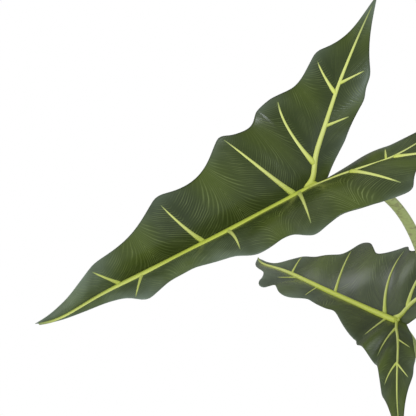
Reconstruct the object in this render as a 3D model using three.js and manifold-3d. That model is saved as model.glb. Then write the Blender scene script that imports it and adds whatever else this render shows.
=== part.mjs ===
// Potted sarian alocasia: seven arrow-shaped leaves with waved margins and pale ribs, on arching stalks
// that stand in the soil of a plain round pot.
// Millimetres, +Z up. The origin is the middle of the pot's flat underside; the plant's front faces -Y.
import * as THREE from 'three';
import { mergeVertices } from 'three/addons/utils/BufferGeometryUtils.js';
import Module from 'manifold-3d';

const wasm = await Module();
wasm.setup();

const GAP = 0.3; // left between neighbouring pieces

// Pot and its rim
const POT_HEIGHT = 200;
const POT_RIM_RADIUS = 112;
const POT_FOOT_RADIUS = 80;
const POT_WALL = 7;
const POT_FLOOR = 10;
const RIM_BAND = 28; // height of the thicker band below the rim
const RIM_STEP = 4; // how far the band stands out of the wall
const LIP = 3; // rounding of the rim
const EDGE_ROUNDING = 2; // of the foot
const BAND_SLOPE = 3; // height of the slope under the band
const POT_SIDES = 48;
const wallSlope = (POT_RIM_RADIUS - RIM_STEP - POT_FOOT_RADIUS) / POT_HEIGHT;

// Soil
const SOIL_EDGE = 170; // level at the pot's wall
const SOIL_MOUND = 9; // rise towards the stalks
const SOIL_WIDTH_MID = 0.75; // where the mound is half its height, as a share of the soil's radius
const SOIL_TOP_RADIUS = 48; // flat top of the mound
const HOLE_DEPTH = 34; // how far a stalk stands in the soil

// Blade, drawn flat: x across, y from the junction with the stalk towards the tip
const BLADE_LENGTH = 343;
const LOBE_LENGTH = 170;
const BLADE_THICKNESS = 1.2;
const RUFFLE = 0.055; // rise of the margin between two side ribs, as a share of the half's width
const DIP_SKEW = 0.8; // under 1, each bay is deepest near the tooth on the tip's side
const DIP_SHARPNESS = 1.2; // over 1, a bay is narrower than a half wave

// A half's centre line follows the midrib from the tip to the junction, then its lobe's rib to the lobe's
// tip. A side rib leaves it at each whole station from 1 to 5: on the right, nearer to the tip than on the
// left.
const JUNCTION = 10 / 3;
const centreLine = (roots, lobe) => [
  { station: 0, at: [0, BLADE_LENGTH] },
  ...roots.map((y, i) => ({ station: i + 1, at: [0, y] })),
  { station: JUNCTION, at: [0, 0] },
  ...lobe.map((at, i) => ({ station: i + 4, at })),
];
const RIB_BOW = 3; // how far the side ribs bow towards the tip on a half 100 mm wide

// A half's margin has a tooth at the end of each side rib, and a bay of its own depth before each tooth. Its
// inner margin runs from the notch at the junction to the lobe's tip.
const RIGHT_LOBE_TIP = [156, -169];
const RIGHT_LOBE = [[28, -19], [83, -81], RIGHT_LOBE_TIP];
const RIGHT_LOBE_MARGIN = [
  { station: JUNCTION, at: [85, 40], bay: 2 },
  { station: 11 / 3, at: [100, 8], bay: 5 },
  { station: 4, at: [112, -19], bay: -2.5 },
  { station: 13 / 3, at: [105.5, -37.5], bay: 0 },
  { station: 14 / 3, at: [112, -58.5], bay: 2 },
  { station: 5, at: [133, -88], bay: 0 },
  { station: 6, at: RIGHT_LOBE_TIP, bay: 12 },
];
const RIGHT_INNER_MARGIN = [
  { station: JUNCTION, at: [0, -21], bay: 0 },
  { station: 4, at: [27, -57], bay: 2 },
  { station: 14 / 3, at: [58, -99], bay: 2 },
  { station: 5, at: [78, -117], bay: 2 },
  { station: 6, at: RIGHT_LOBE_TIP, bay: 4 },
];
const RIGHT = {
  sign: 1,
  centre: centreLine([246, 140, 25], RIGHT_LOBE),
  margin: [
    { station: 0, at: [0, BLADE_LENGTH], bay: 0 },
    { station: 1, at: [36, 267], bay: 4 },
    { station: 2, at: [67, 170], bay: 7 },
    { station: 3, at: [95.5, 63], bay: 16.5 },
    ...RIGHT_LOBE_MARGIN,
  ],
  inner: RIGHT_INNER_MARGIN,
};
const LEFT_LOBE_TIP = [158, -150];
const LEFT = {
  sign: -1,
  centre: centreLine([217, 111, 17], [[54, -25], [96, -50], LEFT_LOBE_TIP]),
  margin: [
    { station: 0, at: [0, BLADE_LENGTH], bay: 0 },
    { station: 1 / 3, at: [13, 310], bay: -2 },
    { station: 1, at: [42.5, 239], bay: 9.5 },
    { station: 4 / 3, at: [37, 207], bay: 0 },
    { station: 5 / 3, at: [40, 173], bay: -1 },
    { station: 2, at: [69, 127], bay: 0 },
    { station: 7 / 3, at: [77.5, 104], bay: 0 },
    { station: 8 / 3, at: [83, 82.5], bay: 1 },
    { station: 3, at: [98, 65], bay: 0 },
    { station: JUNCTION, at: [103.5, 33], bay: 1 },
    { station: 11 / 3, at: [124.5, 1.5], bay: -2.5 },
    { station: 4, at: [146, -31], bay: 0 },
    { station: 5, at: [156, -85], bay: 14 },
    { station: 6, at: LEFT_LOBE_TIP, bay: 10 },
  ],
  inner: [
    { station: JUNCTION, at: [0, -21], bay: 0 },
    { station: 4, at: [25, -51], bay: 2 },
    { station: 5, at: [72, -64], bay: 0 },
    { station: 6, at: LEFT_LOBE_TIP, bay: 3 },
  ],
};

// The second leaf's margins are rougher: a broad tooth on the right, and two small curled ones on the left
const ROUGH_RIGHT = {
  ...RIGHT,
  margin: [
    { station: 0, at: [0, BLADE_LENGTH], bay: 0 },
    { station: 1, at: [33, 265], bay: 8 },
    { station: 4 / 3, at: [38.5, 229], bay: 0 },
    { station: 5 / 3, at: [51, 196], bay: 0 },
    { station: 2, at: [86, 180], bay: 0 },
    { station: 3, at: [94.5, 63], bay: 21 },
    ...RIGHT_LOBE_MARGIN,
  ],
};
const ROUGH_LEFT = {
  sign: -1,
  centre: centreLine([227, 158, 17], RIGHT_LOBE),
  margin: [
    { station: 0, at: [0, BLADE_LENGTH], bay: 0 },
    { station: 1 / 3, at: [30, 286], bay: 0 },
    { station: 2 / 3, at: [35, 264], bay: 0 },
    { station: 1, at: [77, 222], bay: 0 },
    { station: 4 / 3, at: [57, 210], bay: 0 },
    { station: 5 / 3, at: [78, 174], bay: 0 },
    { station: 2, at: [51, 147], bay: 0 },
    { station: 7 / 3, at: [62, 113], bay: 0 },
    { station: 8 / 3, at: [58, 84], bay: 0 },
    { station: 3, at: [138, -4], bay: 0 },
    { station: 4, at: [119, -56], bay: 4 },
    { station: 5, at: [135, -100], bay: 8 },
    { station: 6, at: RIGHT_LOBE_TIP, bay: 8 },
  ],
  inner: RIGHT_INNER_MARGIN,
};

// The blade's grid: columns along the centre line, rows from it to the margins
const COLUMNS_PER_BAY = 3;
const LAST_COLUMN = 6 * COLUMNS_PER_BAY;
const JUNCTION_COLUMN = Math.round(JUNCTION * COLUMNS_PER_BAY);
const OUTER_ROWS = [0, 0.36, 0.7, 1];
const INNER_ROWS = [0, 0.5, 1];

// Ribs: raised strands that lie along the blade's upper face; the midrib fills the bottom of its fold
const BEND_ROOM = 0.15; // spare room where a rib spans a bend of the blade
const RIB_LIFT = BLADE_THICKNESS / 2 + GAP + BEND_ROOM; // underside of a rib over the blade's middle
const RIB_TOP_WIDTH = 0.5; // share of its foot's width
const RIB_RISE = 0.8; // height, as a share of half its foot's width
const MIDRIB_HALF_WIDTH = 3.4;
const MIDRIB_TIP_HALF_WIDTH = 1;
const MIDRIB_START = 0.8; // share of the way from the blade's tip to its first station
const MIDRIB_CROWN = 0.4; // height of its crown over its walls, as a share of half its width
const ROOT_DEPTH = 0.6; // how high inside the midrib a side rib begins, as a share of the wall's height
const LOBE_RIB_END = 0.35; // where it ends between the last two columns
const LOBE_RIB_HALF_WIDTH = 2.8;
const RIB_TIP_HALF_WIDTH = 0.8;
const SIDE_RIB_REACH = 0.86; // share of the way to the margin
const SIDE_RIBS = [
  { station: 1, halfWidth: 1.4 },
  { station: 2, halfWidth: 1.9 },
  { station: 3, halfWidth: 2.1 },
  { station: 4, halfWidth: 1.8 },
  { station: 5, halfWidth: 1.3 },
];
const INNER_RIBS = [
  { station: 4 + 1 / 3, halfWidth: 1.2 },
  { station: 5, halfWidth: 1.1 },
];
const INNER_RIB_END = 0.5; // where they end between the last two rows

// Stalks
const STALK_SIDES = 10;
const STALK_STEPS = 12;
const STALK_TOP_RADIUS = 5;
const STALK_BASE_RADIUS = 9.5;
const STALK_TAPER = 0.7; // under 1, a stalk thins fastest near the soil
const STALK_RING = 30; // radius of the ring that the stalks stand on
const STALK_UPRIGHT = 0.55; // pull of its lower end's direction on the arch, as a share of its span
const STALK_REACH = 0.34; // the same for its upper end

// How a blade hangs: its halves' outlines, and angles in degrees from tip to junction to lobe tip. Fold is
// each half's rise beside the midrib, curl is how far it turns over in each 100 mm towards the margin, and
// breadth scales its width.
const EVEN_HABIT = { fold: [42, 46, 62], curl: [50, 48, 38], breadth: [1, 1, 1] };
const EVEN_HALVES = {
  right: { outline: RIGHT, ...EVEN_HABIT },
  left: { outline: LEFT, ...EVEN_HABIT },
};

// Heading is the way the tip points, seen from above, from +X towards +Y. Pitch is the tip's rise, roll turns
// the blade about its midrib, twist adds to the roll towards the tip, droop bends the midrib down and sway
// bends it sideways. A stalk stands at an angle round the ring, leans outwards and reaches the junction at
// its own pitch.
const LEAVES = [
  {
    junction: [-210, -250, 780],
    heading: 213, pitch: -17, roll: -28, twist: -46, droop: 0, sway: 9, size: 1,
    stand: 222, lean: 3, stalkPitch: -3,
    halves: {
      right: { outline: RIGHT, fold: [46, 47, 70], curl: [60, 56, 36], breadth: [1, 1, 1] },
      left: { outline: LEFT, fold: [55, 54, 93], curl: [40, 36, 43], breadth: [1, 1, 1] },
    },
  },
  {
    junction: [-94, 28, 543],
    heading: 120, pitch: -2, roll: -27, twist: 30, droop: 2, sway: 8, size: 0.99,
    stand: 168, lean: 10, stalkPitch: -50,
    halves: {
      right: { outline: ROUGH_RIGHT, fold: [28, 47, 45], curl: [33, 33, 40], breadth: [1, 1, 1] },
      left: { outline: ROUGH_LEFT, fold: [8, 15, 6], curl: [7, 12, 34], breadth: [1.05, 0.46, 1] },
    },
  },
  {
    junction: [175, -165, 715],
    heading: 318, pitch: -38, roll: 14, twist: 12, droop: 22, sway: -8, size: 0.96,
    stand: 323, lean: 9, stalkPitch: -18, halves: EVEN_HALVES,
  },
  {
    junction: [235, 90, 600],
    heading: 20, pitch: -34, roll: -10, twist: -14, droop: 26, sway: 6, size: 0.9,
    stand: 15, lean: 12, stalkPitch: -24, halves: EVEN_HALVES,
  },
  {
    junction: [80, 190, 830],
    heading: 68, pitch: -36, roll: 8, twist: 10, droop: 24, sway: 8, size: 0.98,
    stand: 67, lean: 7, stalkPitch: -18, halves: EVEN_HALVES,
  },
  {
    junction: [60, -175, 470],
    heading: 284, pitch: -30, roll: -12, twist: 10, droop: 20, sway: -6, size: 0.8,
    stand: 274, lean: 12, stalkPitch: -34, halves: EVEN_HALVES,
  },
  {
    junction: [-90, 120, 300],
    heading: 140, pitch: -14, roll: 6, twist: -8, droop: 16, sway: 5, size: 0.62,
    stand: 118, lean: 14, stalkPitch: -42, halves: EVEN_HALVES,
  },
];

const radians = THREE.MathUtils.degToRad;
const lerp = THREE.MathUtils.lerp;

// The place at a station of a list of places, and the bay that the station is in.
function placeAt(places, station) {
  let i = 1;
  while (i < places.length - 1 && station > places[i].station) i += 1;
  const before = places[i - 1];
  const after = places[i];
  const share = THREE.MathUtils.clamp((station - before.station) / (after.station - before.station), 0, 1);
  return {
    x: lerp(before.at[0], after.at[0], share),
    y: lerp(before.at[1], after.at[1], share),
    share,
    bay: after.bay,
  };
}

// A margin's point: straight from tooth to tooth, drawn in towards the centre line by the bay.
function marginAt(centre, margin, station) {
  const chord = placeAt(margin, station);
  const reach = Math.hypot(chord.x - centre.x, chord.y - centre.y);
  const depth = chord.bay * Math.sin(Math.PI * chord.share ** DIP_SKEW) ** DIP_SHARPNESS;
  const keep = reach > 0 ? 1 - depth / reach : 1;
  return { x: lerp(centre.x, chord.x, keep), y: lerp(centre.y, chord.y, keep), reach: reach * keep };
}

// A value given for the tip, the junction and the lobe tip, at a share of the way from the junction.
function alongBlade([tip, junction, lobe], share) {
  return share >= 0 ? lerp(junction, tip, share) : lerp(junction, lobe, -share);
}

// A point of a cross-section of the blade, brought to where it hangs. Across and rise are from the midrib.
function placeSection(leaf, y, across, rise) {
  const reach = y >= 0 ? BLADE_LENGTH : LOBE_LENGTH;
  const ahead = Math.max(y / reach, 0);
  const roll = radians(leaf.twist) * ahead;
  const droop = radians(leaf.droop) * ahead;
  const sideways = across * Math.cos(roll) + rise * Math.sin(roll);
  const up = rise * Math.cos(roll) - across * Math.sin(roll);
  const point = new THREE.Vector3(
    sideways + leaf.sway * ahead ** 2,
    y - (reach * droop ** 2 * ahead) / 10 + up * Math.sin(droop * ahead),
    (-reach * droop * ahead ** 2) / 3 + up * Math.cos(droop * ahead),
  );
  return point.applyMatrix4(leaf.placement);
}

// How steeply a half rises beside the midrib, how fast it turns over towards its margin, and its breadth.
function habitAt(leaf, sign, y) {
  const half = sign > 0 ? leaf.halves.right : leaf.halves.left;
  const share = y >= 0 ? y / BLADE_LENGTH : y / LOBE_LENGTH;
  return {
    fold: radians(alongBlade(half.fold, share)),
    curl: radians(alongBlade(half.curl, share)) / 100,
    breadth: alongBlade(half.breadth, share),
  };
}

// A point of the flat blade where it hangs, raised off the surface by a lift.
function hang(leaf, sign, x, y, lift) {
  const { fold, curl, breadth } = habitAt(leaf, sign, y);
  const slope = fold - curl * breadth * x;
  const across = (Math.sin(fold) - Math.sin(slope)) / curl - lift * Math.sin(slope);
  const rise = (Math.cos(slope) - Math.cos(fold)) / curl + lift * Math.cos(slope);
  return placeSection(leaf, y, sign * across, rise);
}

// Where the blade sits: heading, pitch and roll turn it about the junction.
function placementOf(leaf) {
  const turn = new THREE.Matrix4()
    .makeRotationZ(radians(leaf.heading - 90))
    .multiply(new THREE.Matrix4().makeRotationX(radians(leaf.pitch)))
    .multiply(new THREE.Matrix4().makeRotationY(radians(leaf.roll)))
    .scale(new THREE.Vector3(leaf.size, leaf.size, leaf.size));
  return turn.setPosition(...leaf.junction);
}

// The grid's points for one half: outer[column][row] and inner[column][row].
function halfGrid(leaf, { sign, centre, margin, inner }) {
  const strip = (edge, rows, ruffle, bow) => (column) => {
    const station = column / COLUMNS_PER_BAY;
    const root = placeAt(centre, station);
    const end = marginAt(root, edge, station);
    const rise = (ruffle * end.reach * (1 - Math.cos(2 * Math.PI * station))) / 2;
    return rows.map((row) => {
      const bowed = (bow * end.reach * 4 * row * (1 - row)) / 100;
      return hang(leaf, sign, lerp(root.x, end.x, row), lerp(root.y, end.y, row) + bowed, rise * row ** 2);
    });
  };
  const columns = Array.from({ length: LAST_COLUMN + 1 }, (_, column) => column);
  return {
    outer: columns.map(strip(margin, OUTER_ROWS, RUFFLE, RIB_BOW)),
    inner: columns.slice(JUNCTION_COLUMN).map(strip(inner, INNER_ROWS, 0, 0)),
  };
}

// A list of vertices in which points that coincide are one.
class Points {
  constructor() {
    this.list = [];
    this.places = new Map();
  }
  add(point) {
    const key = point.toArray().map((value) => Math.round(value * 100)).join();
    if (!this.places.has(key)) {
      this.places.set(key, this.list.length);
      this.list.push(point);
    }
    return this.places.get(key);
  }
}

const isWhole = ([a, b, c]) => a !== b && b !== c && c !== a;
const turnedOver = ([a, b, c]) => [a, c, b];

// The triangles between neighbouring columns of point numbers; those that shrink to a line are left out.
function weave(columns) {
  const triangles = [];
  for (let i = 1; i < columns.length; i += 1) {
    for (let k = 1; k < columns[i].length; k += 1) {
      const [a, b, c, d] = [columns[i - 1][k - 1], columns[i][k - 1], columns[i][k], columns[i - 1][k]];
      triangles.push([a, c, b], [a, d, c]);
    }
  }
  return triangles.filter(isWhole);
}

// The triangles between two rows of points that need not pair up, each with how far along it lies.
function zip(first, second) {
  const triangles = [];
  let [i, k] = [0, 0];
  while (i < first.length - 1 || k < second.length - 1) {
    const atEnd = k === second.length - 1;
    const stepFirst = atEnd || (i < first.length - 1 && first[i + 1].along <= second[k + 1].along);
    const next = stepFirst ? first[i + 1] : second[k + 1];
    triangles.push([first[i].id, second[k].id, next.id]);
    if (stepFirst) i += 1;
    else k += 1;
  }
  return triangles.filter(isWhole);
}

function solidFrom(positions, triangles) {
  return new wasm.Manifold(
    new wasm.Mesh({
      numProp: 3,
      vertProperties: new Float32Array(positions.flatMap((point) => point.toArray())),
      triVerts: new Uint32Array(triangles.flat()),
    }),
  );
}

// The mean of the normals of the triangles that meet at each point of a sheet.
function sheetNormals(points, triangles) {
  const normals = points.map(() => new THREE.Vector3());
  for (const [a, b, c] of triangles) {
    const normal = points[b].clone().sub(points[a]).cross(points[c].clone().sub(points[a]));
    for (const id of [a, b, c]) normals[id].add(normal);
  }
  return normals.map((normal) => normal.normalize());
}

// A sheet given thickness: both faces are split into the same triangles, and a wall closes its edge.
function thickened(points, normals, triangles, thickness) {
  const edges = new Map();
  for (const [a, b, c] of triangles) {
    for (const [from, to] of [[a, b], [b, c], [c, a]]) {
      if (!edges.delete(`${to},${from}`)) edges.set(`${from},${to}`, [from, to]);
    }
  }
  const offset = (share) =>
    points.map((point, i) => point.clone().addScaledVector(normals[i], share * thickness));
  const below = points.length;
  const walls = [...edges.values()].flatMap(([from, to]) => [
    [from, from + below, to + below],
    [from, to + below, to],
  ]);
  const underside = triangles.map(([a, b, c]) => [a + below, c + below, b + below]);
  return solidFrom([...offset(0.5), ...offset(-0.5)], [...triangles, ...underside, ...walls]);
}

// A solid skinned over rings of points, all of one count, closed at both ends.
function loft(rings) {
  const sides = rings[0].length;
  const triangles = [];
  for (let i = 1; i < rings.length; i += 1) {
    for (let k = 0; k < sides; k += 1) {
      const [a, b] = [(i - 1) * sides + k, (i - 1) * sides + ((k + 1) % sides)];
      triangles.push([a, b, b + sides], [a, b + sides, a + sides]);
    }
  }
  const last = (rings.length - 1) * sides;
  for (let k = 2; k < sides; k += 1) {
    triangles.push([0, k, k - 1], [last, last + k - 1, last + k]);
  }
  return solidFrom(rings.flat(), triangles);
}

const wayAt = (path, i) =>
  path[Math.min(i + 1, path.length - 1)].clone().sub(path[Math.max(i - 1, 0)]).normalize();

// A round strand along a path, with a radius at each point.
function strand(path, radii, sides) {
  const across = new THREE.Vector3(0.31, 0.27, 0.91).cross(wayAt(path, 0)).normalize();
  const rings = path.map((point, i) => {
    const way = wayAt(path, i);
    across.addScaledVector(way, -across.dot(way)).normalize();
    const other = way.clone().cross(across);
    return Array.from({ length: sides }, (_, k) => {
      const angle = (2 * Math.PI * k) / sides;
      return point
        .clone()
        .addScaledVector(across, radii[i] * Math.cos(angle))
        .addScaledVector(other, radii[i] * Math.sin(angle));
    });
  });
  return loft(rings);
}

// The same strand with room around it, to cut its hole.
function strandRoom(path, radii, sides) {
  const longer = path.map((point) => point.clone());
  longer[0].add(path[0].clone().sub(path[1]).setLength(GAP));
  return strand(longer, radii.map((radius) => radius + GAP / Math.cos(Math.PI / sides)), sides);
}

const taper = (count, from, to) => Array.from({ length: count }, (_, i) => lerp(from, to, i / (count - 1)));
const between = (a, b, share) => ({
  point: a.point.clone().lerp(b.point, share),
  normal: a.normal.clone().lerp(b.normal, share).normalize(),
});

// A rib that lies on the blade: flat underneath, narrower at its top. A place is a point with its normal.
function surfaceRib(places, from, to) {
  const widths = taper(places.length, from, to);
  const path = places.map(({ point }) => point);
  return loft(
    places.map(({ point, normal }, i) => {
      const side = wayAt(path, i).cross(normal).normalize();
      const corner = (across, rise) =>
        point.clone().addScaledVector(side, across).addScaledVector(normal, RIB_LIFT + rise);
      const top = RIB_TOP_WIDTH * widths[i];
      const rise = RIB_RISE * widths[i];
      return [corner(-widths[i], 0), corner(-top, rise), corner(top, rise), corner(widths[i], 0)];
    }),
  );
}

const midribWidth = (y) => lerp(MIDRIB_HALF_WIDTH, MIDRIB_TIP_HALF_WIDTH, y / BLADE_LENGTH);

// The midrib's cross-section at y: its foot follows both halves of the fold.
function midribRing(leaf, y) {
  const width = midribWidth(y);
  const lift = RIB_LIFT / leaf.size;
  const right = habitAt(leaf, 1, y).fold;
  const left = habitAt(leaf, -1, y).fold;
  const foot = lift / Math.cos(Math.max(right, left));
  const wall = (sign, fold) => [
    sign * (width - lift * Math.sin(fold)),
    width * Math.tan(fold) + lift * Math.cos(fold),
  ];
  const [rightX, rightZ] = wall(1, right);
  const [leftX, leftZ] = wall(-1, left);
  const crown = Math.max(rightZ, leftZ) + MIDRIB_CROWN * width;
  const corners = [
    [0, foot],
    [rightX, rightZ],
    [rightX * RIB_TOP_WIDTH, crown],
    [leftX * RIB_TOP_WIDTH, crown],
    [leftX, leftZ],
  ];
  return corners.map(([across, rise]) => placeSection(leaf, y, across, rise));
}

const columnOf = (station) => Math.round(station * COLUMNS_PER_BAY);
const yOfColumn = ({ centre }, column) => placeAt(centre, column / COLUMNS_PER_BAY).y;

const outlinesOf = ({ halves }) => [halves.right.outline, halves.left.outline];

// The midrib's stations: where either half has a column, from the tip to the junction.
function midribStations(leaf) {
  const columns = Array.from({ length: JUNCTION_COLUMN + 1 }, (_, column) => column);
  const ys = new Set(outlinesOf(leaf).flatMap((half) => columns.map((column) => yOfColumn(half, column))));
  return [...ys].sort((a, b) => b - a);
}

// Every rib of a blade, as one tree. A grid's place holds its point and the sheet's normal there.
function ribTree(leaf, halves) {
  const size = leaf.size;
  const [tip, first, ...others] = midribStations(leaf);
  const midrib = [lerp(tip, first, MIDRIB_START), first, ...others];
  const ribs = [loft(midrib.map((y) => midribRing(leaf, y)))];

  // A rib that branches from the midrib begins inside it.
  const inMidrib = (y, normal) => {
    const fold = Math.max(habitAt(leaf, 1, y).fold, habitAt(leaf, -1, y).fold);
    const rise = RIB_LIFT / leaf.size / Math.cos(fold) + midribWidth(y) * Math.tan(fold) * ROOT_DEPTH;
    return { point: placeSection(leaf, y, 0, rise).addScaledVector(normal, -RIB_LIFT), normal };
  };

  for (const { half, outer, inner } of halves) {
    const lobe = outer.slice(JUNCTION_COLUMN).map((rows) => rows[0]);
    const hub = inMidrib(0, lobe[1].normal);
    const lobeEnd = between(lobe.at(-2), lobe.at(-1), LOBE_RIB_END);
    const lobePlaces = [hub, ...lobe.slice(1, -1), lobeEnd];
    ribs.push(surfaceRib(lobePlaces, LOBE_RIB_HALF_WIDTH * size, RIB_TIP_HALF_WIDTH));

    for (const { station, halfWidth } of SIDE_RIBS) {
      const column = columnOf(station);
      const rows = outer[column];
      const root = station < JUNCTION ? inMidrib(yOfColumn(half, column), rows[1].normal) : rows[0];
      const inLastRow = (SIDE_RIB_REACH - OUTER_ROWS.at(-2)) / (1 - OUTER_ROWS.at(-2));
      const end = between(rows.at(-2), rows.at(-1), inLastRow);
      ribs.push(surfaceRib([root, ...rows.slice(1, -1), end], halfWidth * size, RIB_TIP_HALF_WIDTH));
    }
    for (const { station, halfWidth } of INNER_RIBS) {
      const rows = inner[columnOf(station) - JUNCTION_COLUMN];
      const end = between(rows[1], rows[2], INNER_RIB_END);
      ribs.push(surfaceRib([rows[0], rows[1], end], halfWidth * size, RIB_TIP_HALF_WIDTH));
    }
  }
  return filled(wasm.Manifold.union(ribs));
}

// A joined solid without the closed hollows that its pieces may leave between them.
function filled(solid) {
  const outsides = solid.decompose().filter((shell) => shell.volume() > 0);
  if (outsides.length !== 1) throw new Error(`${outsides.length} bodies where one is wanted`);
  return outsides[0];
}

// A half's part of the blade's sheet, facing up: its strip beside the midrib also meets the other half's
// columns.
function halfSheet(leaf, half, { outer, inner }, points) {
  const ids = (columns) => columns.map((rows) => rows.map((point) => points.add(point)));
  const [outerIds, innerIds] = [ids(outer), ids(inner)];
  const onMidrib = (y) => points.add(placeSection(leaf, y, 0, 0));
  const midrib = midribStations(leaf).map((y) => ({ id: onMidrib(y), along: -y }));
  const nextRow = outerIds
    .slice(0, JUNCTION_COLUMN + 1)
    .map((rows, column) => ({ id: rows[1], along: -yOfColumn(half, column) }));
  const outside = [
    ...zip(midrib, nextRow),
    ...weave(outerIds.slice(0, JUNCTION_COLUMN + 1).map((rows) => rows.slice(1))),
    ...weave(outerIds.slice(JUNCTION_COLUMN)),
  ];
  const inside = weave(innerIds);
  return half.sign > 0 ? [...outside.map(turnedOver), ...inside] : [...outside, ...inside.map(turnedOver)];
}

function bladeAndRibs(leaf) {
  const points = new Points();
  const halves = outlinesOf(leaf).map((half) => ({ half, ...halfGrid(leaf, half) }));
  const sheet = halves.flatMap((grid) => halfSheet(leaf, grid.half, grid, points));
  const normals = sheetNormals(points.list, sheet);
  const placed = (columns) =>
    columns.map((rows) => rows.map((point) => ({ point, normal: normals[points.add(point)] })));
  const places = halves.map(({ half, outer, inner }) => ({
    half,
    outer: placed(outer),
    inner: placed(inner),
  }));
  return {
    blade: thickened(points.list, normals, sheet, BLADE_THICKNESS),
    ribs: ribTree(leaf, places),
  };
}

// The way that the stalk leaves the junction, down and back to the middle of the plant.
function stalkWay(leaf) {
  const inwards = new THREE.Vector3(-leaf.junction[0], -leaf.junction[1], 0).normalize();
  const pitch = radians(leaf.stalkPitch);
  return inwards.multiplyScalar(Math.cos(pitch)).setZ(Math.sin(pitch));
}

// How far down the stalk's way its flat top clears the underside of the fold.
function seatDistance(leaf, way) {
  const midrib = new THREE.Vector3().setFromMatrixColumn(leaf.placement, 1).normalize();
  const cosine = Math.abs(way.dot(midrib));
  const sine = Math.sqrt(1 - cosine ** 2);
  return (BLADE_THICKNESS / 2 + GAP + STALK_TOP_RADIUS * cosine) / sine;
}

// A stalk's path: upright out of the soil, arching over to its seat under the blade.
function stalkPath(leaf) {
  const junction = new THREE.Vector3(...leaf.junction);
  const way = stalkWay(leaf);
  const top = junction.clone().addScaledVector(way, seatDistance(leaf, way));
  const outwards = new THREE.Vector3(Math.cos(radians(leaf.stand)), Math.sin(radians(leaf.stand)), 0);
  const lean = radians(leaf.lean);
  const rising = outwards.clone().multiplyScalar(Math.sin(lean)).setZ(Math.cos(lean));
  const ground = outwards.clone().multiplyScalar(STALK_RING).setZ(SOIL_EDGE + SOIL_MOUND);
  const foot = ground.clone().addScaledVector(rising, -HOLE_DEPTH);
  const span = top.distanceTo(ground);
  const arch = new THREE.CubicBezierCurve3(
    ground,
    ground.clone().addScaledVector(rising, span * STALK_UPRIGHT),
    top.clone().addScaledVector(way, span * STALK_REACH),
    top,
  );
  return [foot, ...arch.getPoints(STALK_STEPS)];
}

function stalkRadii(path) {
  return path.map((_, i) => {
    const share = (i / (path.length - 1)) ** STALK_TAPER;
    return lerp(STALK_BASE_RADIUS, STALK_TOP_RADIUS, share);
  });
}

// The closed outline of the pot's wall, turned round the axis.
function potSolid() {
  const outside = (z) => POT_FOOT_RADIUS + wallSlope * z;
  const inside = (z) => outside(z) - POT_WALL;
  const bandFoot = POT_HEIGHT - RIM_BAND;
  const outline = [
    [0, 0],
    [POT_FOOT_RADIUS - EDGE_ROUNDING, 0],
    [outside(EDGE_ROUNDING), EDGE_ROUNDING],
    [outside(bandFoot), bandFoot],
    [outside(bandFoot) + RIM_STEP, bandFoot + BAND_SLOPE],
    [POT_RIM_RADIUS, POT_HEIGHT - LIP],
    [POT_RIM_RADIUS - LIP / 3, POT_HEIGHT - LIP / 3],
    [POT_RIM_RADIUS - LIP, POT_HEIGHT],
    [inside(POT_HEIGHT) + LIP, POT_HEIGHT],
    [inside(POT_HEIGHT) + LIP / 3, POT_HEIGHT - LIP / 3],
    [inside(POT_HEIGHT - LIP), POT_HEIGHT - LIP],
    [inside(POT_FLOOR), POT_FLOOR],
    [0, POT_FLOOR],
  ];
  return turned(outline);
}

function soilSolid(holes) {
  const wall = (z) => POT_FOOT_RADIUS + wallSlope * z - POT_WALL - 2 * GAP;
  const bottom = POT_FLOOR + GAP;
  const outline = [
    [0, bottom],
    [wall(bottom), bottom],
    [wall(SOIL_EDGE), SOIL_EDGE],
    [wall(SOIL_EDGE) * SOIL_WIDTH_MID, SOIL_EDGE + SOIL_MOUND / 2],
    [SOIL_TOP_RADIUS, SOIL_EDGE + SOIL_MOUND],
    [0, SOIL_EDGE + SOIL_MOUND],
  ];
  return turned(outline).subtract(wasm.Manifold.union(holes));
}

// An outline of radius and height, turned into a solid.
function turned(outline) {
  const geometry = new THREE.LatheGeometry(
    outline.map(([radius, z]) => new THREE.Vector2(radius, z)),
    POT_SIDES,
  );
  geometry.deleteAttribute('normal');
  geometry.deleteAttribute('uv');
  const merged = mergeVertices(geometry.rotateX(Math.PI / 2), 1e-3);
  const ids = merged.index.array;
  const triangles = [];
  for (let i = 0; i < ids.length; i += 3) {
    const [a, b, c] = [ids[i], ids[i + 1], ids[i + 2]];
    if (a !== b && b !== c && c !== a) triangles.push([a, b, c]);
  }
  const position = merged.getAttribute('position');
  const pointAt = (_, i) => new THREE.Vector3().fromBufferAttribute(position, i);
  const points = Array.from({ length: position.count }, pointAt);
  return solidFrom(points, triangles);
}

function meshFrom(name, solid, look) {
  const { vertProperties, triVerts, numProp } = solid.getMesh();
  const geometry = new THREE.BufferGeometry();
  geometry.setAttribute('position', new THREE.BufferAttribute(vertProperties, numProp));
  geometry.setIndex(new THREE.BufferAttribute(triVerts, 1));
  const mesh = new THREE.Mesh(geometry, new THREE.MeshStandardMaterial({ ...look, metalness: 0 }));
  mesh.name = name;
  return mesh;
}

const TERRACOTTA = { color: 0xb5714c, roughness: 0.85 };
const POTTING_SOIL = { color: 0x3a2a20, roughness: 1 };
const LEAF_GREEN = { color: 0x434d2b, roughness: 0.35 };
const RIB_GREEN = { color: 0xc5ce59, roughness: 0.4 };
const STALK_GREEN = { color: 0x8d9a5b, roughness: 0.45 };

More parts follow.
